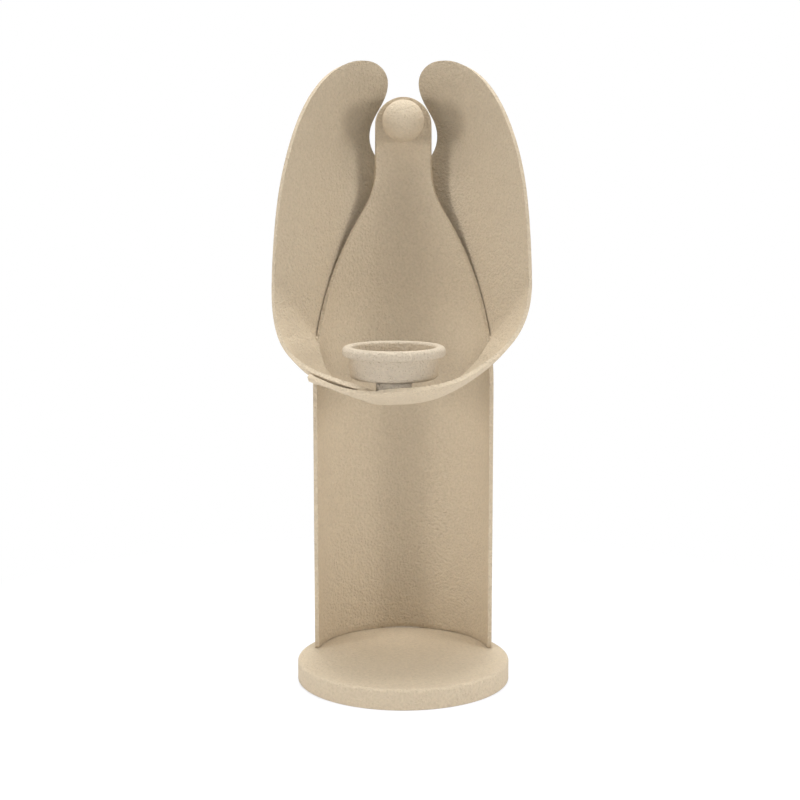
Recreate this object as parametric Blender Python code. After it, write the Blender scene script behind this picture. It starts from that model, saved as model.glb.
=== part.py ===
"""Angel candle holder, welded from steel sheet and powder coated.

A round foot plate carries a half-pipe column whose top is cut to a neck and shoulders, like a robe.
One wide wing sheet wraps around the back of the robe, with a keyhole for the head.
Its two tails come forward, lap over each other like folded hands and carry the cup for a tealight.
Metres, Z up. The origin is the middle of the foot plate's underside, and the front faces -Y.
"""
import bpy
import bmesh
from math import acos, asin, atan2, cos, hypot, pi, radians, sin, sqrt, tan
from mathutils import Vector
from mathutils.bvhtree import BVHTree

# Sheet and welded joints
SHEET = 0.002
WELD_GAP = 0.0003
HUG_GAP = 0.0005
EDGE_WRAP = 0.0012

# Foot plate
BASE_RADIUS = 0.0516
BASE_THICKNESS = 0.0102
BASE_TOP_ROUND = 0.0015
BASE_BOTTOM_ROUND = 0.0006

# Robe: a half-pipe, flush with the rear of the foot plate
COLUMN_RADIUS = 0.0444
COLUMN_HALF_ANGLE = radians(82.5)
SHOULDER_START = 0.144
SHOULDER_RADIUS = 0.156
NECK_FILLET = 0.040
NECK_HALF_WIDTH = 0.0138
NECK_LENGTH = 0.0213

# Head: its middle is this far below the top of the neck
HEAD_RADIUS = 0.0103
HEAD_DROP = 0.0119

# Wing sheet from the front: keyhole below the head, tips above the keyhole, widest point by the shoulders
KEYHOLE_RADIUS = 0.0177
KEYHOLE_DROP = 0.0075
WING_RISE = 0.0373
TIP_X = 0.0193
TIP_GAP = 0.0156
TIP_ROUND = 0.011
THROAT_BEND = 0.38
WING_HALF_WIDTH = 0.0613
WIDEST_RISE = 0.049
WIDEST_DEPTH = 0.002
TIP_CURVE = 0.0316
SIDE_CURVE = 0.0471

# Wing sheet from the side: against the robe up to the shoulders' slope, set back beside the neck
WING_SEAT = 0.0210
LEAN_START = 0.066
LEAN_RISE = 0.070
LEAN_BACK = 0.0125

# Tails of the wing sheet, which lap below the cup
LIP_REACH = 0.0455
LIP_RISE = 0.0072
STRAP_REACH = 0.015
STRAP_DROP = 0.0101
STRAP_CURL = 0.85
LAP_GAP = 0.0006
BOWL_SHIFT = -0.0051
LIP_START = Vector((0, -0.006, -0.031))
LIP_FINISH = Vector((0.042, 0, 0))
REAR_START = Vector((-0.007, -0.013, -0.005))
REAR_FINISH = {-1: Vector((0.042, 0, 0)), 1: Vector((0.034, 0, 0))}
CURL_LENGTH = 0.6
UPPER_TAIL_END = 0.93
UPPER_TAIL_TAPER = 0.30
UPPER_TAPER_START = 0.60
LOWER_TAIL_END = 1.36
LOWER_TAIL_TIP = 0.20
LOWER_LIP_SET = 0.06
LAPPED_LIP_SET = 0.11
DIP_START = 0.50
DIP_LENGTH = 0.36

# Cup for a tealight, over the lip of the tails, and its post
CUP_REACH = 0.025
CUP_SHIFT = -0.0043
CUP_LIFT = 0.0002
CUP_HEIGHT = 0.0150
CUP_RADIUS = 0.0206
CUP_WALL = 0.0012
CUP_FOOT_ROUND = 0.0024
CUP_FLOOR_ROUND = 0.0018
RIM_RADIUS = 0.0240
RIM_BAND = 0.0045
RIM_UNDER_ROUND = 0.0009
RIM_OUTER_ROUND = 0.0018
RIM_INNER_ROUND = 0.0016
POST_RADIUS = 0.0083
POST_REACH = 0.0335

# Places that follow from the sizes above
COLUMN_Y = BASE_RADIUS - COLUMN_RADIUS
COLUMN_MID = COLUMN_RADIUS - SHEET / 2
COLUMN_FOOT = BASE_THICKNESS + WELD_GAP
COLUMN_HALF_WIDTH = COLUMN_MID * sin(COLUMN_HALF_ANGLE)
SHOULDER_X = COLUMN_HALF_WIDTH - SHOULDER_RADIUS
FILLET_X = NECK_HALF_WIDTH + NECK_FILLET
FILLET_RISE = sqrt((SHOULDER_RADIUS + NECK_FILLET) ** 2 - (FILLET_X - SHOULDER_X) ** 2)
FILLET_HEIGHT = SHOULDER_START + FILLET_RISE
MEET_HEIGHT = SHOULDER_START + FILLET_RISE * SHOULDER_RADIUS / (SHOULDER_RADIUS + NECK_FILLET)
NECK_ROUND_HEIGHT = FILLET_HEIGHT + NECK_LENGTH
HEAD_HEIGHT = NECK_ROUND_HEIGHT + NECK_HALF_WIDTH - HEAD_DROP
KEYHOLE_HEIGHT = HEAD_HEIGHT - KEYHOLE_DROP
WING_TOP = KEYHOLE_HEIGHT + WING_RISE
SHOULDER_HEIGHT = SHOULDER_START + WING_SEAT
LIP_HEIGHT = SHOULDER_START + LIP_RISE
CUP_BOTTOM = LIP_HEIGHT + CUP_LIFT
HUG_RADIUS = COLUMN_RADIUS + HUG_GAP + SHEET / 2
WIDEST = Vector((WING_HALF_WIDTH, WIDEST_DEPTH, SHOULDER_START + WIDEST_RISE))
HUG_ANGLE = (atan2(WIDEST.x, WIDEST.y - COLUMN_Y)
             - acos(HUG_RADIUS / hypot(WIDEST.x, WIDEST.y - COLUMN_Y)))

# Powder coat
BEIGE = (0.56, 0.46, 0.35)
COAT_ROUGHNESS = 0.85

# Mesh fineness
ROUND_STEPS = 80
CUP_STEPS = 60
POST_STEPS = 40
HEAD_STEPS = 32
COLUMN_STEPS = 24
COLUMN_LEVELS = 6
SHOULDER_LEVELS = 20
NECK_LEVELS = 2
NECK_ROUND_LEVELS = 9
RIB_STEPS = 16
RIBBON_STEPS = 6
UPPER_TAIL_STEPS = 16
LOWER_TAIL_STEPS = 28
TIP_STEPS = 6
THROAT_STEPS = 7
KEYHOLE_STEPS = 8
BLEND_STEPS = 12
BLEND_POWER = 1.6
SMOOTH_PASSES = 4
SLOPE_STEP = 0.01
SAME_POINT = 0.00002

# Handle length that makes a Bezier curve run like a quarter of a circle
QUARTER_ARC = 0.5523


def clear_scene():
    for obj in list(bpy.data.objects):
        bpy.data.objects.remove(obj, do_unlink=True)


def powder_coat(name):
    mat = bpy.data.materials.new(name)
    mat.use_nodes = True
    shader = mat.node_tree.nodes["Principled BSDF"]
    shader.inputs["Base Color"].default_value = (*BEIGE, 1.0)
    shader.inputs["Roughness"].default_value = COAT_ROUGHNESS
    shader.inputs["Metallic"].default_value = 0.0
    return mat


def make_object(name, bm, mat):
    """Turn a bmesh into a smooth-shaded object with sharp cut edges."""
    mesh = bpy.data.meshes.new(name)
    bm.to_mesh(mesh)
    bm.free()
    mesh.shade_smooth()
    mesh.set_sharp_from_angle(angle=radians(40))
    mesh.materials.append(mat)
    obj = bpy.data.objects.new(name, mesh)
    bpy.context.scene.collection.objects.link(obj)
    return obj


def give_thickness(obj, thickness):
    """Thicken a middle surface evenly to both sides."""
    wall = obj.modifiers.new("sheet", "SOLIDIFY")
    wall.thickness = thickness
    wall.offset = 0.0
    wall.use_even_offset = True


def bezier(p0, p1, p2, p3, t):
    return (1 - t) ** 3 * p0 + 3 * (1 - t) ** 2 * t * p1 + 3 * (1 - t) * t ** 2 * p2 + t ** 3 * p3


def ease(value):
    """Go smoothly from 0 to 1."""
    value = min(1.0, max(0.0, value))
    return value * value * (3 - 2 * value)


def lofted_patch(bm, rows):
    """A grid whose rows are laid through the given rows of points."""
    across = len(rows[0]) - 1
    along = len(rows) - 1
    grid = bmesh.ops.create_grid(bm, x_segments=across, y_segments=along, size=1.0)
    for vert in grid["verts"]:
        column = round((vert.co.x + 1) / 2 * across)
        row = round((vert.co.y + 1) / 2 * along)
        vert.co = rows[row][column]


def turned(name, profile, mat, steps, centre):
    """Spin a profile of (radius, height) points about a vertical axis."""
    bm = bmesh.new()
    verts = [bm.verts.new((r, 0.0, z)) for r, z in profile]
    edges = [bm.edges.new(pair) for pair in zip(verts, verts[1:])]
    bmesh.ops.spin(bm, geom=verts + edges, cent=(0, 0, 0), axis=(0, 0, 1), angle=2 * pi,
                   steps=steps, use_merge=True)
    bmesh.ops.remove_doubles(bm, verts=bm.verts, dist=SAME_POINT)
    bmesh.ops.recalc_face_normals(bm, faces=bm.faces)
    bmesh.ops.translate(bm, verts=bm.verts, vec=centre)
    return make_object(name, bm, mat)


def rounded(corners, steps=3):
    """Round each (radius, height, rounding) corner of an open profile with an arc."""
    points = [corners[0][:2]]
    for before, corner, after in zip(corners, corners[1:], corners[2:]):
        here = Vector(corner[:2])
        inward = (Vector(before[:2]) - here).normalized()
        outward = (Vector(after[:2]) - here).normalized()
        half = inward.angle(outward) / 2
        if corner[2] == 0:
            points.append(tuple(here))
            continue
        reach = corner[2] / tan(half)
        middle = here + (inward + outward).normalized() * corner[2] / sin(half)
        start = here + inward * reach - middle
        sweep = start.angle_signed(here + outward * reach - middle)
        for step in range(steps + 1):
            turn = -sweep * step / steps
            points.append((middle.x + start.x * cos(turn) - start.y * sin(turn),
                           middle.y + start.x * sin(turn) + start.y * cos(turn)))
    points.append(corners[-1][:2])
    return points


# Foot plate

def build_base(mat):
    profile = rounded([
        (0.0, 0.0, 0.0),
        (BASE_RADIUS, 0.0, BASE_BOTTOM_ROUND),
        (BASE_RADIUS, BASE_THICKNESS, BASE_TOP_ROUND),
        (0.0, BASE_THICKNESS, 0.0),
    ])
    return turned("base_plate", profile, mat, ROUND_STEPS, (0, 0, 0))


# Robe

def robe_half_width(z):
    """Straight sides, a shoulder arc, the fillet up to the neck, the straight neck and its round top."""
    if z <= SHOULDER_START:
        return COLUMN_HALF_WIDTH
    if z <= MEET_HEIGHT:
        return SHOULDER_X + sqrt(SHOULDER_RADIUS ** 2 - (z - SHOULDER_START) ** 2)
    if z <= FILLET_HEIGHT:
        return FILLET_X - sqrt(NECK_FILLET ** 2 - (FILLET_HEIGHT - z) ** 2)
    if z <= NECK_ROUND_HEIGHT:
        return NECK_HALF_WIDTH
    return sqrt(max(0.0, NECK_HALF_WIDTH ** 2 - (z - NECK_ROUND_HEIGHT) ** 2))


def robe_levels():
    """Heights of the robe's rows: few on the straight column, closer on the curved outline."""
    column = SHOULDER_START - COLUMN_FOOT
    levels = [COLUMN_FOOT + column * i / COLUMN_LEVELS for i in range(COLUMN_LEVELS)]
    levels += [SHOULDER_START + FILLET_RISE * i / SHOULDER_LEVELS for i in range(SHOULDER_LEVELS)]
    levels += [FILLET_HEIGHT + NECK_LENGTH * i / NECK_LEVELS for i in range(NECK_LEVELS)]
    for i in range(NECK_ROUND_LEVELS + 1):
        levels.append(NECK_ROUND_HEIGHT + NECK_HALF_WIDTH * sin(pi / 2 * i / NECK_ROUND_LEVELS))
    return levels


def build_robe(mat):
    rows = []
    for z in robe_levels():
        half_angle = asin(robe_half_width(z) / COLUMN_MID)
        row = []
        for i in range(COLUMN_STEPS + 1):
            angle = half_angle * (2 * i / COLUMN_STEPS - 1)
            row.append(Vector((COLUMN_MID * sin(angle), COLUMN_Y + COLUMN_MID * cos(angle), z)))
        rows.append(row)
    bm = bmesh.new()
    lofted_patch(bm, rows)
    bmesh.ops.remove_doubles(bm, verts=bm.verts, dist=SAME_POINT)
    robe = make_object("robe_shell", bm, mat)
    give_thickness(robe, SHEET)
    return robe


# Head

def build_head(mat):
    face_y = COLUMN_Y + COLUMN_RADIUS - SHEET
    bm = bmesh.new()
    bmesh.ops.create_uvsphere(bm, u_segments=HEAD_STEPS, v_segments=HEAD_STEPS // 2, radius=HEAD_RADIUS)
    bmesh.ops.translate(bm, verts=bm.verts, vec=(0, face_y - WELD_GAP - HEAD_RADIUS, HEAD_HEIGHT))
    return make_object("head_ball", bm, mat)


# Wing sheet

def back_depth(z):
    """How far back the middle of the wing sheet stands: against the robe below, set back above."""
    return COLUMN_Y + HUG_RADIUS + LEAN_BACK * ease((z - SHOULDER_START - LEAN_START) / LEAN_RISE)


def wing_edge(t):
    """Front view (x, z) of the wing's outer edge, from the tip down to its widest point."""
    return bezier(Vector((TIP_X, WING_TOP)), Vector((TIP_X + TIP_CURVE, WING_TOP)),
                  Vector((WIDEST.x, WIDEST.z + SIDE_CURVE)), Vector((WIDEST.x, WIDEST.z)), t)


def wing_edge_at(z):
    """The outer edge's x at a height, found by halving."""
    low, high = 0.0, 1.0
    for _ in range(40):
        middle = (low + high) / 2
        if wing_edge(middle).y > z:
            low = middle
        else:
            high = middle
    return wing_edge(low).x


def keyhole_edge():
    """Front view (x, z) of a wing's inner edge: round the tip, through the throat, round the keyhole."""
    tip = Vector((TIP_X, WING_TOP))
    throat = Vector((TIP_GAP / 2, WING_TOP - TIP_ROUND))
    side = Vector((KEYHOLE_RADIUS, KEYHOLE_HEIGHT))
    bottom = Vector((0.0, KEYHOLE_HEIGHT - KEYHOLE_RADIUS))
    bend = THROAT_BEND * (throat.y - side.y)
    points = []
    for i in range(TIP_STEPS):
        points.append(bezier(tip, tip + Vector((-QUARTER_ARC * (tip.x - throat.x), 0)),
                             throat + Vector((0, QUARTER_ARC * TIP_ROUND)), throat, i / TIP_STEPS))
    for i in range(THROAT_STEPS):
        points.append(bezier(throat, throat - Vector((0, bend)), side + Vector((0, bend)), side,
                             i / THROAT_STEPS))
    for i in range(KEYHOLE_STEPS + 1):
        points.append(bezier(side, side - Vector((0, QUARTER_ARC * KEYHOLE_RADIUS)),
                             bottom + Vector((QUARTER_ARC * KEYHOLE_RADIUS, 0)), bottom,
                             i / KEYHOLE_STEPS))
    return points


def section_length(x):
    """Length along the wing sheet's level section from the middle of the back out to x."""
    turn = HUG_RADIUS * sin(HUG_ANGLE)
    if x <= turn:
        return HUG_RADIUS * asin(x / HUG_RADIUS)
    return HUG_RADIUS * HUG_ANGLE + (x - turn) / cos(HUG_ANGLE)


def section_point(length):
    """The level section: round the robe's back, then straight on to the widest point."""
    angle = min(HUG_ANGLE, length / HUG_RADIUS)
    straight = length - HUG_RADIUS * angle
    return (HUG_RADIUS * sin(angle) + straight * cos(HUG_ANGLE),
            COLUMN_Y + HUG_RADIUS * cos(angle) - straight * sin(HUG_ANGLE))


def around_back(edge_x, inner_x, z):
    """A level rib of the wing sheet, from the outer edge round towards the middle of the back."""
    deepen = (back_depth(z) - WIDEST.y) / (COLUMN_Y + HUG_RADIUS - WIDEST.y)
    outer = section_length(edge_x)
    inner = section_length(inner_x)
    rib = []
    for i in range(RIB_STEPS + 1):
        x, y = section_point(outer + (inner - outer) * i / RIB_STEPS)
        rib.append(Vector((x, WIDEST.y + (y - WIDEST.y) * deepen, z)))
    return rib


def shoulder_angle():
    """Where the wing sheet comes round the robe's cut edge, as an angle from the middle of the back."""
    return asin(robe_half_width(SHOULDER_HEIGHT) / COLUMN_MID) + EDGE_WRAP / HUG_RADIUS


def around_robe(angle):
    """A point of the wing sheet's lower edge, against the robe's back."""
    return Vector((HUG_RADIUS * sin(angle), COLUMN_Y + HUG_RADIUS * cos(angle), SHOULDER_HEIGHT))


def shoulder_rib():
    """The lowest full rib: from the widest point in to the robe's edge, then round the robe's back."""
    rib = [WIDEST.lerp(around_robe(shoulder_angle()), i / RIBBON_STEPS) for i in range(RIBBON_STEPS)]
    back_steps = RIB_STEPS - RIBBON_STEPS
    return rib + [around_robe(shoulder_angle() * (1 - i / back_steps)) for i in range(back_steps + 1)]


def tail_point(q, across, side):
    """A tail's middle surface: q runs from the shoulder to the front middle, across from lip to rear edge."""
    lip = Vector((0.0, -LIP_REACH, LIP_HEIGHT))
    rear = Vector((0.0, -STRAP_REACH, LIP_HEIGHT - STRAP_DROP))
    shoulder = around_robe(shoulder_angle())
    outer = bezier(WIDEST, WIDEST + LIP_START, lip + LIP_FINISH, lip, q)
    inner = bezier(shoulder, shoulder + REAR_START, rear + REAR_FINISH[side], rear, q)
    back = outer.lerp(inner, 1 - cos(across * pi / 2))
    down = outer.lerp(inner, sin(across * pi / 2))
    curled = Vector((back.x, back.y, down.z))
    point = outer.lerp(inner, across).lerp(curled, STRAP_CURL * ease(q / CURL_LENGTH))
    return Vector((side * point.x, point.y, point.z))


def lapped_point(q, across, side):
    """A point of one tail, which past q = 1 runs on along the other side."""
    if q > 1:
        return tail_point(2 - q, across, -side)
    return tail_point(q, across, side)


def set_sideways(point):
    """The bowl sits a little to one side of the robe, more so towards the front."""
    front = COLUMN_Y + HUG_RADIUS * cos(COLUMN_HALF_ANGLE)
    share = (front - point.y) / (front + POST_REACH)
    return point + Vector((BOWL_SHIFT * ease(share), 0, 0))


def tail_rib(q, side, span, drop):
    """One rib of a tail: the part of its width from span[0] to span[1], lowered off the other tail."""
    rib = []
    for i in range(RIBBON_STEPS + 1):
        across = span[0] + (span[1] - span[0]) * i / RIBBON_STEPS
        along = lapped_point(q + SLOPE_STEP, across, side) - lapped_point(q - SLOPE_STEP, across, side)
        width = lapped_point(q, across + SLOPE_STEP, side) - lapped_point(q, across - SLOPE_STEP, side)
        under = along.cross(width).normalized()
        rib.append(lapped_point(q, across, side) + under * drop)
    return rib


def upper_tail():
    """Ribs of the left tail, which ends on top with its lip drawn back."""
    rows = []
    for i in range(1, UPPER_TAIL_STEPS + 1):
        q = UPPER_TAIL_END * i / UPPER_TAIL_STEPS
        taper = max(0.0, (q - UPPER_TAPER_START) / (UPPER_TAIL_END - UPPER_TAPER_START))
        rows.append(tail_rib(q, -1, (UPPER_TAIL_TAPER * taper ** 3, 1.0), 0.0))
    return rows


def lower_tail():
    """Ribs of the right tail, which dips below the left one and runs on along its lip to a point."""
    rows = []
    for i in range(1, LOWER_TAIL_STEPS + 1):
        q = LOWER_TAIL_END * i / LOWER_TAIL_STEPS
        dip = ease((q - DIP_START) / DIP_LENGTH)
        past = max(0.0, (q - 1) / (LOWER_TAIL_END - 1))
        lip = LOWER_LIP_SET * dip + LAPPED_LIP_SET * ease(5 * past) * ease(2 - 2 * past)
        rear = LOWER_TAIL_TIP + (1 - LOWER_TAIL_TIP) * (1 - past) ** 3
        rows.append(tail_rib(q, 1, (lip, rear), (SHEET + LAP_GAP) * dip))
    return rows


def wing_rows(side):
    """Full ribs of one wing from tip to shoulder, and the middle of the sheet below the keyhole."""
    rows = []
    for x, z in keyhole_edge():
        edge_x = TIP_X if z >= WING_TOP else wing_edge_at(z)
        rows.append(around_back(edge_x, x, z))
    keyhole_bottom = KEYHOLE_HEIGHT - KEYHOLE_RADIUS
    last = shoulder_rib()
    for i in range(1, BLEND_STEPS + 1):
        share = i / BLEND_STEPS
        z = keyhole_bottom + (WIDEST.z - keyhole_bottom) * share
        level = around_back(wing_edge_at(z), 0.0, z)
        rows.append([a.lerp(b, ease(share) ** BLEND_POWER) for a, b in zip(level, last)])
    return [[Vector((side * p.x, p.y, p.z)) for p in row] for row in rows]


def keep_off_robe(vert):
    """Smoothing draws the sheet in, so it is set back round the robe."""
    out = Vector((vert.co.x, vert.co.y - COLUMN_Y, 0))
    if vert.co.z > SHOULDER_HEIGHT - WELD_GAP and out.length < HUG_RADIUS:
        vert.co += out.normalized() * (HUG_RADIUS - out.length)


def wing_surface():
    """The middle surface of the whole wing sheet."""
    bm = bmesh.new()
    for side in (-1, 1):
        rows = wing_rows(side)
        lofted_patch(bm, rows)
        tail = upper_tail() if side < 0 else lower_tail()
        lofted_patch(bm, [rows[-1][:RIBBON_STEPS + 1]] + tail)
    bmesh.ops.remove_doubles(bm, verts=bm.verts, dist=SAME_POINT)
    bmesh.ops.recalc_face_normals(bm, faces=bm.faces)
    inside = [v for v in bm.verts if not v.is_boundary]
    for _ in range(SMOOTH_PASSES):
        bmesh.ops.smooth_vert(bm, verts=inside, factor=0.5, use_axis_x=True, use_axis_y=True, use_axis_z=True)
    for vert in bm.verts:
        keep_off_robe(vert)
        vert.co = set_sideways(vert.co)
    return bm


def build_wings(mat):
    wings = make_object("wing_sheet", wing_surface(), mat)
    give_thickness(wings, SHEET)
    return wings


# Cup and post

def build_cup(mat):
    inner = CUP_RADIUS - CUP_WALL
    band = CUP_HEIGHT - RIM_BAND
    profile = rounded([
        (0.0, 0.0, 0.0),
        (CUP_RADIUS, 0.0, CUP_FOOT_ROUND),
        (CUP_RADIUS, band, 0.0),
        (RIM_RADIUS, band, RIM_UNDER_ROUND),
        (RIM_RADIUS, CUP_HEIGHT, RIM_OUTER_ROUND),
        (inner, CUP_HEIGHT, RIM_INNER_ROUND),
        (inner, CUP_WALL, CUP_FLOOR_ROUND),
        (0.0, CUP_WALL, 0.0),
    ])
    return turned("candle_cup", profile, mat, CUP_STEPS, (CUP_SHIFT, -CUP_REACH, CUP_BOTTOM))


def build_post(mat, wings):
    """A short round post whose foot follows the tail that it stands on."""
    depsgraph = bpy.context.evaluated_depsgraph_get()
    sheet = BVHTree.FromObject(wings, depsgraph)
    top = CUP_BOTTOM - WELD_GAP
    bm = bmesh.new()
    bmesh.ops.create_cone(bm, cap_ends=True, cap_tris=True, segments=POST_STEPS,
                          radius1=POST_RADIUS, radius2=POST_RADIUS, depth=SHEET)
    bmesh.ops.translate(bm, verts=bm.verts, vec=(CUP_SHIFT, -POST_REACH, top - SHEET / 2))
    for vert in bm.verts:
        if vert.co.z < top - SHEET / 2:
            above = Vector((vert.co.x, vert.co.y, top + CUP_HEIGHT))
            hit = sheet.ray_cast(above, Vector((0, 0, -1)))[0]
            vert.co.z = hit.z + WELD_GAP
    return make_object("cup_post", bm, mat)


def build():
    clear_scene()
    build_base(powder_coat("base_coat"))
    build_robe(powder_coat("robe_coat"))
    build_head(powder_coat("head_coat"))
    wings = build_wings(powder_coat("wing_coat"))
    build_cup(powder_coat("cup_coat"))
    build_post(powder_coat("post_coat"), wings)


build()
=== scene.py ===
"""Looks of the angel candle holder: welded sheet steel under a sand-textured beige powder coat.

The robe, the wings and the post are finer copies of their solids with rounded cut edges.
The foot plate, the head and the cup are made anew on the places that their solids hold.
Two small weld tacks are added where the robe meets the lower corners of the wings.
Metres, Z up. The front faces -Y.
"""
from math import cos, pi, radians, sin

import bmesh
import bpy
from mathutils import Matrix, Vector


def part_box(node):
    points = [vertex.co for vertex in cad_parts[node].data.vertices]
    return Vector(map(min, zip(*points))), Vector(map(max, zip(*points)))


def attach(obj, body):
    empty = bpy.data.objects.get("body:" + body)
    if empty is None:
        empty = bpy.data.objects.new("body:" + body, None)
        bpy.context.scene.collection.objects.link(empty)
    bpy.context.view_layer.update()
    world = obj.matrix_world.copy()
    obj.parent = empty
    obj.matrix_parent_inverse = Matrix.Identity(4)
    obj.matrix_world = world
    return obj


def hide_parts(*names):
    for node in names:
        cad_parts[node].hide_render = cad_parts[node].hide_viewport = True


# Finer copies of the solids
MERGE_DISTANCE = 0.000002
JOIN_FACE_ANGLE = radians(60)
JOIN_SHAPE_ANGLE = radians(80)
EDGE_ROUND = 0.0005
EDGE_ANGLE = radians(50)
EDGE_SEGMENTS = 3
SHEET_LEVELS = 1

# Turned and round pieces
CORNER_SEGMENTS = 6
PLATE_STEPS = 160
CUP_STEPS = 128
HEAD_SUBDIVISIONS = 5
TACK_SUBDIVISIONS = 3

# Wings: their back stands off the robe a little more than the solid's, and their tips a little less
BACK_DEPTH = 0.053
OFF_START = 0.170
OFF_RISE = 0.055
OFF_ROBE = 0.0048
TIP_START = 0.235
TIP_RISE = 0.065
TIP_FORWARD = 0.0092

# Weld tacks that close the seam between the robe's edges and the lower corners of the wings
TACK_X = 0.0428
TACK_Y = 0.0206
TACK_Z = 0.1646
TACK_RADIUS = 0.0013

# Foot plate
BASE_TOP_ROUND = 0.0015
BASE_BOTTOM_ROUND = 0.0006

# Cup
CUP_RADIUS = 0.0206
CUP_WALL = 0.0012
RIM_BAND = 0.0045
CUP_FOOT_ROUND = 0.0024
RIM_UNDER_ROUND = 0.0010
RIM_OUTER_ROUND = 0.0020
RIM_INNER_ROUND = 0.0013
CUP_FLOOR_ROUND = 0.0018

# Powder coat, as linear colours
BEIGE = (0.605, 0.495, 0.340)
CUP_BEIGE = (0.590, 0.495, 0.360)
# The post's coat is paler than the cup's: painted light, so that the post in the cup's shadow looks as
# bright as the lit cup.
POST_BEIGE_PAINTED_LIGHT = (0.760, 0.680, 0.540)
COAT_ROUGHNESS = 0.85
CUP_ROUGHNESS = 0.8
COAT_SPECULAR = 0.35

# Sand grain: fine grains over a broader ripple, with painted shade in the hollows and painted light on the
# crests
GRAIN_SIZE = 0.0012
GRAIN_DEPTH = 0.0013
GRAIN_DETAIL = 3.0
GRAIN_ROUGHNESS = 0.6
RIPPLE_SCALE = 0.28
RIPPLE_SHARE = 0.5
RIPPLE_DETAIL = 1.0
RIPPLE_ROUGHNESS = 0.5
HOLLOW_HEIGHT = 0.30
CREST_HEIGHT = 0.65
HOLLOW_PAINTED_SHADE = 0.92
CREST_PAINTED_LIGHT = 1.06

# Brown specks in the coat of the cup and the post
SPECK_BROWN = (0.34, 0.26, 0.17)
SPECK_AMOUNT = 0.5
SPECK_CORE = 0.16
SPECK_EDGE = 0.30

# Camera
CAMERA_DISTANCE = 0.7942
CAMERA_HEIGHT = 0.2574
CAMERA_TILT = 0.15
FOCAL_PIXELS = 1673.8
FRAME_PIXELS = 800
MIDDLE_PIXEL = 403.3
SENSOR = 36.0
NEAR_CLIP = 0.01

# Studio: three pairs of side lights, two lamps above and a white floor
AIM = (0.0, 0.0, 0.17)
SIDE_DISTANCE = 1.0
SIDE_LIGHTS = [
    {"name": "main", "angle": 54, "height": 0.32, "size": 0.30, "power": 3.7},
    {"name": "high", "angle": 60, "height": 0.90, "size": 0.40, "power": 1.9},
    {"name": "edge", "angle": 85, "height": 0.27, "size": 0.40, "power": 0.75},
]
SIDE_COLOUR = (1.0, 1.0, 1.05)
TOP_PLACE = (0.0, -0.3, 3.0)
TOP_POWER = 84.0
BACK_PLACE = (0.0, 1.5, 2.7)
BACK_POWER = 54.0
TOP_SIZE = 1.5
TOP_COLOUR = (0.97, 1.0, 1.07)
AMBIENT = 0.01
FLOOR_SIZE = 1.1
FLOOR_WHITE = (0.86, 0.86, 0.87)
FLOOR_ROUGHNESS = 0.9
FADE_START = 0.06
FADE_END = 0.30
NEAR_FADE = 0.5


# Meshes

def add_piece(name, bm):
    """Make a smooth piece from a bmesh, in the place that its mesh holds."""
    mesh = bpy.data.meshes.new(name)
    bm.to_mesh(mesh)
    bm.free()
    mesh.shade_smooth()
    piece = bpy.data.objects.new(name, mesh)
    bpy.context.scene.collection.objects.link(piece)
    return piece


def finish_piece(piece, node, coat):
    """Let the piece stand for its solid, in its coat."""
    piece.data.materials.append(coat)
    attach(piece, "root")
    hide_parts(node)


def merged_copy(node):
    """A solid's mesh with its corners merged and its pairs of triangles made quads again."""
    bm = bmesh.new()
    bm.from_mesh(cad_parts[node].data)
    bmesh.ops.remove_doubles(bm, verts=bm.verts, dist=MERGE_DISTANCE)
    bmesh.ops.join_triangles(bm, faces=bm.faces, angle_face_threshold=JOIN_FACE_ANGLE,
                             angle_shape_threshold=JOIN_SHAPE_ANGLE)
    return bm


def round_cut_edges(bm, width):
    """Round the edges where a sheet was cut, as a thick powder coat does."""
    sharp = [edge for edge in bm.edges if edge.is_manifold and edge.calc_face_angle() > EDGE_ANGLE]
    bmesh.ops.bevel(bm, geom=sharp, offset=width, offset_type="OFFSET", affect="EDGES",
                    segments=EDGE_SEGMENTS, profile=0.5, clamp_overlap=True, material=-1)


def subdivide(piece):
    surface = piece.modifiers.new("finer", "SUBSURF")
    surface.levels = SHEET_LEVELS
    surface.render_levels = SHEET_LEVELS


def weigh_normals(piece):
    """Keep the flat faces of a turned piece flat beside its rounded corners."""
    piece.modifiers.new("flat faces", "WEIGHTED_NORMAL")


def turned(name, corners, centre, steps):
    """Spin a profile of (radius, height, rounding) corners about a vertical axis."""
    bm = bmesh.new()
    verts = [bm.verts.new((radius, 0.0, height)) for radius, height, rounding in corners]
    for pair in zip(verts, verts[1:]):
        bm.edges.new(pair)
    for vert, (radius, height, rounding) in zip(verts, corners):
        if rounding > 0:
            bmesh.ops.bevel(bm, geom=[vert], offset=rounding, offset_type="OFFSET", affect="VERTICES",
                            segments=CORNER_SEGMENTS, profile=0.5, material=-1)
    bmesh.ops.spin(bm, geom=bm.verts[:] + bm.edges[:], cent=(0, 0, 0), axis=(0, 0, 1), angle=2 * pi,
                   steps=steps, use_merge=True)
    bmesh.ops.remove_doubles(bm, verts=bm.verts, dist=MERGE_DISTANCE)
    bmesh.ops.recalc_face_normals(bm, faces=bm.faces)
    bmesh.ops.translate(bm, verts=bm.verts, vec=centre)
    piece = add_piece(name, bm)
    weigh_normals(piece)
    return piece


# Pieces

def make_foot_plate(coat):
    low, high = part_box("base_plate")
    radius = (high.x - low.x) / 2
    thickness = high.z - low.z
    plate = turned("foot_plate", [
        (0.0, 0.0, 0.0),
        (radius, 0.0, BASE_BOTTOM_ROUND),
        (radius, thickness, BASE_TOP_ROUND),
        (0.0, thickness, 0.0),
    ], (0.0, 0.0, low.z), PLATE_STEPS)
    finish_piece(plate, "base_plate", coat)


def make_robe(coat):
    bm = merged_copy("robe_shell")
    round_cut_edges(bm, EDGE_ROUND)
    robe = add_piece("robe", bm)
    subdivide(robe)
    finish_piece(robe, "robe_shell", coat)


def ease(value):
    """Go smoothly from 0 to 1."""
    value = min(1.0, max(0.0, value))
    return value * value * (3 - 2 * value)


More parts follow.
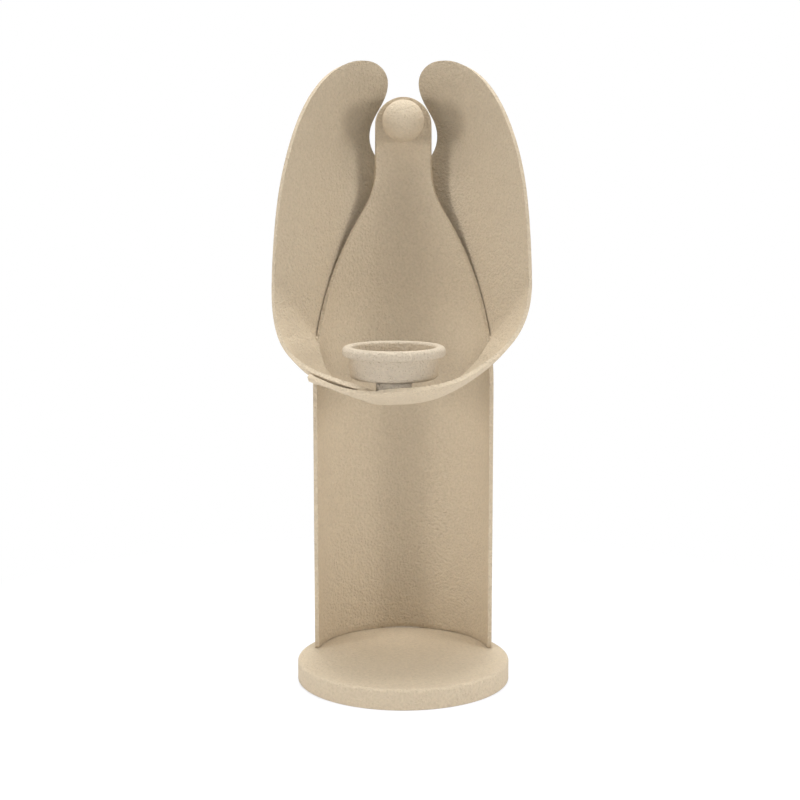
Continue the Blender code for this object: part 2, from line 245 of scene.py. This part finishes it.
def set_off(vert):
    """Move a point of the wings back off the robe, or forward by the tips, most where they lie deepest."""
    off = OFF_ROBE * ease((vert.co.z - OFF_START) / OFF_RISE)
    forward = TIP_FORWARD * ease((vert.co.z - TIP_START) / TIP_RISE)
    vert.co.y += (off - forward) * min(1.0, max(0.0, vert.co.y / BACK_DEPTH))


def make_wings(coat):
    bm = merged_copy("wing_sheet")
    for vert in bm.verts:
        set_off(vert)
    round_cut_edges(bm, EDGE_ROUND)
    wings = add_piece("wings", bm)
    subdivide(wings)
    finish_piece(wings, "wing_sheet", coat)


def make_tacks(coat):
    for name, side in (("left_tack", -1), ("right_tack", 1)):
        bm = bmesh.new()
        bmesh.ops.create_icosphere(bm, subdivisions=TACK_SUBDIVISIONS, radius=TACK_RADIUS)
        bmesh.ops.translate(bm, verts=bm.verts, vec=(side * TACK_X, TACK_Y, TACK_Z))
        tack = add_piece(name, bm)
        tack.data.materials.append(coat)
        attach(tack, "root")


def make_head(coat):
    low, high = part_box("head_ball")
    bm = bmesh.new()
    bmesh.ops.create_icosphere(bm, subdivisions=HEAD_SUBDIVISIONS, radius=(high.z - low.z) / 2)
    bmesh.ops.translate(bm, verts=bm.verts, vec=(low + high) / 2)
    finish_piece(add_piece("head", bm), "head_ball", coat)


def make_cup(coat):
    low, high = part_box("candle_cup")
    height = high.z - low.z
    rim = (high.x - low.x) / 2
    inner = CUP_RADIUS - CUP_WALL
    cup = turned("cup", [
        (0.0, 0.0, 0.0),
        (CUP_RADIUS, 0.0, CUP_FOOT_ROUND),
        (CUP_RADIUS, height - RIM_BAND, 0.0),
        (rim, height - RIM_BAND, RIM_UNDER_ROUND),
        (rim, height, RIM_OUTER_ROUND),
        (inner, height, RIM_INNER_ROUND),
        (inner, CUP_WALL, CUP_FLOOR_ROUND),
        (0.0, CUP_WALL, 0.0),
    ], ((low.x + high.x) / 2, (low.y + high.y) / 2, low.z), CUP_STEPS)
    finish_piece(cup, "candle_cup", coat)


def make_post(coat):
    post = add_piece("post", merged_copy("cup_post"))
    weigh_normals(post)
    finish_piece(post, "cup_post", coat)


# Powder coat

def new_node(tree, kind, **values):
    """Add a node and set its inputs by name."""
    node = tree.nodes.new(kind)
    for name, value in values.items():
        node.inputs[name].default_value = value
    return node


def sand_grain_group():
    """Grains of a sand-textured coat: their height, and a colour with painted shade between them and
    painted light on them.
    """
    group = bpy.data.node_groups.new("sand_grain", "ShaderNodeTree")
    face = group.interface
    face.new_socket("Vector", in_out="INPUT", socket_type="NodeSocketVector")
    face.new_socket("Colour", in_out="INPUT", socket_type="NodeSocketColor")
    face.new_socket("Grains per metre", in_out="INPUT", socket_type="NodeSocketFloat")
    face.new_socket("Specks", in_out="INPUT", socket_type="NodeSocketFloat")
    face.new_socket("Colour", in_out="OUTPUT", socket_type="NodeSocketColor")
    face.new_socket("Height", in_out="OUTPUT", socket_type="NodeSocketFloat")
    link = group.links.new
    given = group.nodes.new("NodeGroupInput")
    out = group.nodes.new("NodeGroupOutput")

    grain = new_node(group, "ShaderNodeTexNoise", Detail=GRAIN_DETAIL, Roughness=GRAIN_ROUGHNESS)
    link(given.outputs["Vector"], grain.inputs["Vector"])
    link(given.outputs["Grains per metre"], grain.inputs["Scale"])

    coarser = group.nodes.new("ShaderNodeMath")
    coarser.operation = "MULTIPLY"
    coarser.inputs[1].default_value = RIPPLE_SCALE
    link(given.outputs["Grains per metre"], coarser.inputs[0])
    ripple = new_node(group, "ShaderNodeTexNoise", Detail=RIPPLE_DETAIL, Roughness=RIPPLE_ROUGHNESS)
    link(given.outputs["Vector"], ripple.inputs["Vector"])
    link(coarser.outputs[0], ripple.inputs["Scale"])

    height = group.nodes.new("ShaderNodeMath")
    height.operation = "MULTIPLY_ADD"
    height.inputs[1].default_value = RIPPLE_SHARE
    link(ripple.outputs["Fac"], height.inputs[0])
    link(grain.outputs["Fac"], height.inputs[2])
    link(height.outputs[0], out.inputs["Height"])

    # Painted shade and light: the colour is darkened where the grain is low and lightened where it is
    # high.
    painted_hollow_shade = new_node(group, "ShaderNodeMapRange", **{"From Min": HOLLOW_HEIGHT, "From Max": CREST_HEIGHT,
                                                      "To Min": HOLLOW_PAINTED_SHADE, "To Max": CREST_PAINTED_LIGHT})
    link(grain.outputs["Fac"], painted_hollow_shade.inputs["Value"])
    shaded = group.nodes.new("ShaderNodeVectorMath")
    shaded.operation = "SCALE"
    link(given.outputs["Colour"], shaded.inputs[0])
    link(painted_hollow_shade.outputs[0], shaded.inputs["Scale"])

    cells = new_node(group, "ShaderNodeTexVoronoi", Randomness=1.0)
    link(given.outputs["Vector"], cells.inputs["Vector"])
    link(given.outputs["Grains per metre"], cells.inputs["Scale"])
    spots = new_node(group, "ShaderNodeMapRange", **{"From Min": SPECK_CORE, "From Max": SPECK_EDGE,
                                                    "To Min": 1.0, "To Max": 0.0})
    link(cells.outputs["Distance"], spots.inputs["Value"])
    amount = group.nodes.new("ShaderNodeMath")
    amount.operation = "MULTIPLY"
    link(spots.outputs[0], amount.inputs[0])
    link(given.outputs["Specks"], amount.inputs[1])
    specked = group.nodes.new("ShaderNodeMix")
    specked.data_type = "RGBA"
    specked.inputs["B"].default_value = (*SPECK_BROWN, 1.0)
    link(amount.outputs[0], specked.inputs["Factor"])
    link(shaded.outputs[0], specked.inputs["A"])
    link(specked.outputs["Result"], out.inputs["Colour"])
    return group


def powder_coat(name, group, colour, specks, roughness):
    """A matt coat over steel with sand grains in it."""
    mat = bpy.data.materials.new(name)
    mat.use_nodes = True
    tree = mat.node_tree
    link = tree.links.new
    shader = tree.nodes["Principled BSDF"]
    shader.inputs["Roughness"].default_value = roughness
    shader.inputs["Metallic"].default_value = 0.0
    shader.inputs["Specular IOR Level"].default_value = COAT_SPECULAR
    place = tree.nodes.new("ShaderNodeTexCoord")
    grain = tree.nodes.new("ShaderNodeGroup")
    grain.node_tree = group
    grain.inputs["Colour"].default_value = (*colour, 1.0)
    grain.inputs["Grains per metre"].default_value = 1 / GRAIN_SIZE
    grain.inputs["Specks"].default_value = specks
    link(place.outputs["Object"], grain.inputs["Vector"])
    link(grain.outputs["Colour"], shader.inputs["Base Color"])
    bump = tree.nodes.new("ShaderNodeBump")
    bump.inputs["Strength"].default_value = 1.0
    bump.inputs["Distance"].default_value = GRAIN_DEPTH
    link(grain.outputs["Height"], bump.inputs["Height"])
    link(bump.outputs["Normal"], shader.inputs["Normal"])
    return mat


# Studio

def show_white(tree, lit, white):
    """Mix a lit shader with plain white for the rays that see the background itself."""
    link = tree.links.new
    path = tree.nodes.new("ShaderNodeLightPath")
    seen = tree.nodes.new("ShaderNodeMath")
    seen.operation = "MAXIMUM"
    link(path.outputs["Is Glossy Ray"], seen.inputs[0])
    link(path.outputs["Is Transmission Ray"], seen.inputs[1])
    either = tree.nodes.new("ShaderNodeMath")
    either.operation = "MAXIMUM"
    link(path.outputs["Is Camera Ray"], either.inputs[0])
    link(seen.outputs[0], either.inputs[1])
    mix = tree.nodes.new("ShaderNodeMixShader")
    link(either.outputs[0], mix.inputs[0])
    link(lit, mix.inputs[1])
    link(white, mix.inputs[2])
    return mix.outputs[0]


def make_world():
    """A white backdrop that gives the object only a plain level of light."""
    world = bpy.data.worlds.new("studio")
    world.use_nodes = True
    tree = world.node_tree
    lit = tree.nodes["Background"]
    lit.inputs["Color"].default_value = (1.0, 1.0, 1.0, 1.0)
    lit.inputs["Strength"].default_value = AMBIENT
    white = tree.nodes.new("ShaderNodeBackground")
    white.inputs["Color"].default_value = (1.0, 1.0, 1.0, 1.0)
    white.inputs["Strength"].default_value = 1.0
    tree.links.new(show_white(tree, lit.outputs[0], white.outputs[0]),
                   tree.nodes["World Output"].inputs["Surface"])
    bpy.context.scene.world = world


def make_floor():
    """A white floor that keeps the holder's shadow, and fades to plain white away from it."""
    bm = bmesh.new()
    bmesh.ops.create_grid(bm, x_segments=1, y_segments=1, size=FLOOR_SIZE / 2)
    floor = add_piece("floor", bm)
    mat = bpy.data.materials.new("white_floor")
    mat.use_nodes = True
    tree = mat.node_tree
    link = tree.links.new
    shader = tree.nodes["Principled BSDF"]
    shader.inputs["Base Color"].default_value = (*FLOOR_WHITE, 1.0)
    shader.inputs["Roughness"].default_value = FLOOR_ROUGHNESS
    glow = tree.nodes.new("ShaderNodeEmission")
    glow.inputs["Color"].default_value = (1.0, 1.0, 1.0, 1.0)
    place = tree.nodes.new("ShaderNodeTexCoord")
    length = tree.nodes.new("ShaderNodeVectorMath")
    length.operation = "LENGTH"
    link(place.outputs["Object"], length.inputs[0])
    away = tree.nodes.new("ShaderNodeMapRange")
    away.inputs["From Min"].default_value = FADE_START
    away.inputs["From Max"].default_value = FADE_END
    away.inputs["To Min"].default_value = NEAR_FADE
    away.inputs["To Max"].default_value = 1.0
    link(length.outputs["Value"], away.inputs["Value"])
    blend = tree.nodes.new("ShaderNodeMixShader")
    link(away.outputs[0], blend.inputs[0])
    link(shader.outputs[0], blend.inputs[1])
    link(glow.outputs[0], blend.inputs[2])
    link(show_white(tree, shader.outputs[0], blend.outputs[0]),
         tree.nodes["Material Output"].inputs["Surface"])
    floor.data.materials.append(mat)


def add_softbox(name, place, size, power, colour):
    """A square soft light that faces the holder."""
    data = bpy.data.lights.new(name, "AREA")
    data.shape = "SQUARE"
    data.size = size
    data.energy = power
    data.color = colour
    lamp = bpy.data.objects.new(name, data)
    bpy.context.scene.collection.objects.link(lamp)
    lamp.location = place
    lamp.rotation_euler = (Vector(AIM) - Vector(place)).to_track_quat("-Z", "Y").to_euler()


def beside(side, angle, height):
    """A place to the left (-1) or right (1), this far round from the front."""
    return side * SIDE_DISTANCE * sin(angle), -SIDE_DISTANCE * cos(angle), height


def make_lights():
    for light in SIDE_LIGHTS:
        for name, side in (("left", -1), ("right", 1)):
            place = beside(side, radians(light["angle"]), light["height"])
            add_softbox(light["name"] + "_" + name, place, light["size"], light["power"], SIDE_COLOUR)
    add_softbox("top_softbox", TOP_PLACE, TOP_SIZE, TOP_POWER, TOP_COLOUR)
    add_softbox("back_softbox", BACK_PLACE, TOP_SIZE, BACK_POWER, TOP_COLOUR)


def make_camera():
    data = bpy.data.cameras.new("camera")
    data.sensor_width = SENSOR
    data.lens = FOCAL_PIXELS / FRAME_PIXELS * SENSOR
    data.shift_x = -(MIDDLE_PIXEL - FRAME_PIXELS / 2) / FRAME_PIXELS
    data.clip_start = NEAR_CLIP
    camera = bpy.data.objects.new("camera", data)
    bpy.context.scene.collection.objects.link(camera)
    camera.location = (0.0, -CAMERA_DISTANCE, CAMERA_HEIGHT)
    camera.rotation_euler = (pi / 2 - CAMERA_TILT, 0.0, 0.0)
    bpy.context.scene.camera = camera


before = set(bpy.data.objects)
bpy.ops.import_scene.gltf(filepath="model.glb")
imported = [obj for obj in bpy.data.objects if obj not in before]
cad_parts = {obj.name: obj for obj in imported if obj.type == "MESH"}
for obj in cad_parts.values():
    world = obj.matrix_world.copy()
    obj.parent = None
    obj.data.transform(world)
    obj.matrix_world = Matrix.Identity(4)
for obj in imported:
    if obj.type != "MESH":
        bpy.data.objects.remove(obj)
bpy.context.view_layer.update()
bpy.context.scene.view_settings.view_transform = "Standard"
make_camera()
make_world()
make_floor()
make_lights()
sand_grain = sand_grain_group()
make_foot_plate(powder_coat("foot_plate_coat", sand_grain, BEIGE, 0.0, COAT_ROUGHNESS))
make_robe(powder_coat("robe_coat", sand_grain, BEIGE, 0.0, COAT_ROUGHNESS))
wing_coat = powder_coat("wing_coat", sand_grain, BEIGE, 0.0, COAT_ROUGHNESS)
make_wings(wing_coat)
make_tacks(wing_coat)
make_head(powder_coat("head_coat", sand_grain, BEIGE, 0.0, COAT_ROUGHNESS))
make_cup(powder_coat("cup_coat", sand_grain, CUP_BEIGE, SPECK_AMOUNT, CUP_ROUGHNESS))
# The post's paler colour is painted light, standing in for the light that its place under the cup does not
# get.
make_post(powder_coat("post_coat", sand_grain, POST_BEIGE_PAINTED_LIGHT, SPECK_AMOUNT, CUP_ROUGHNESS))
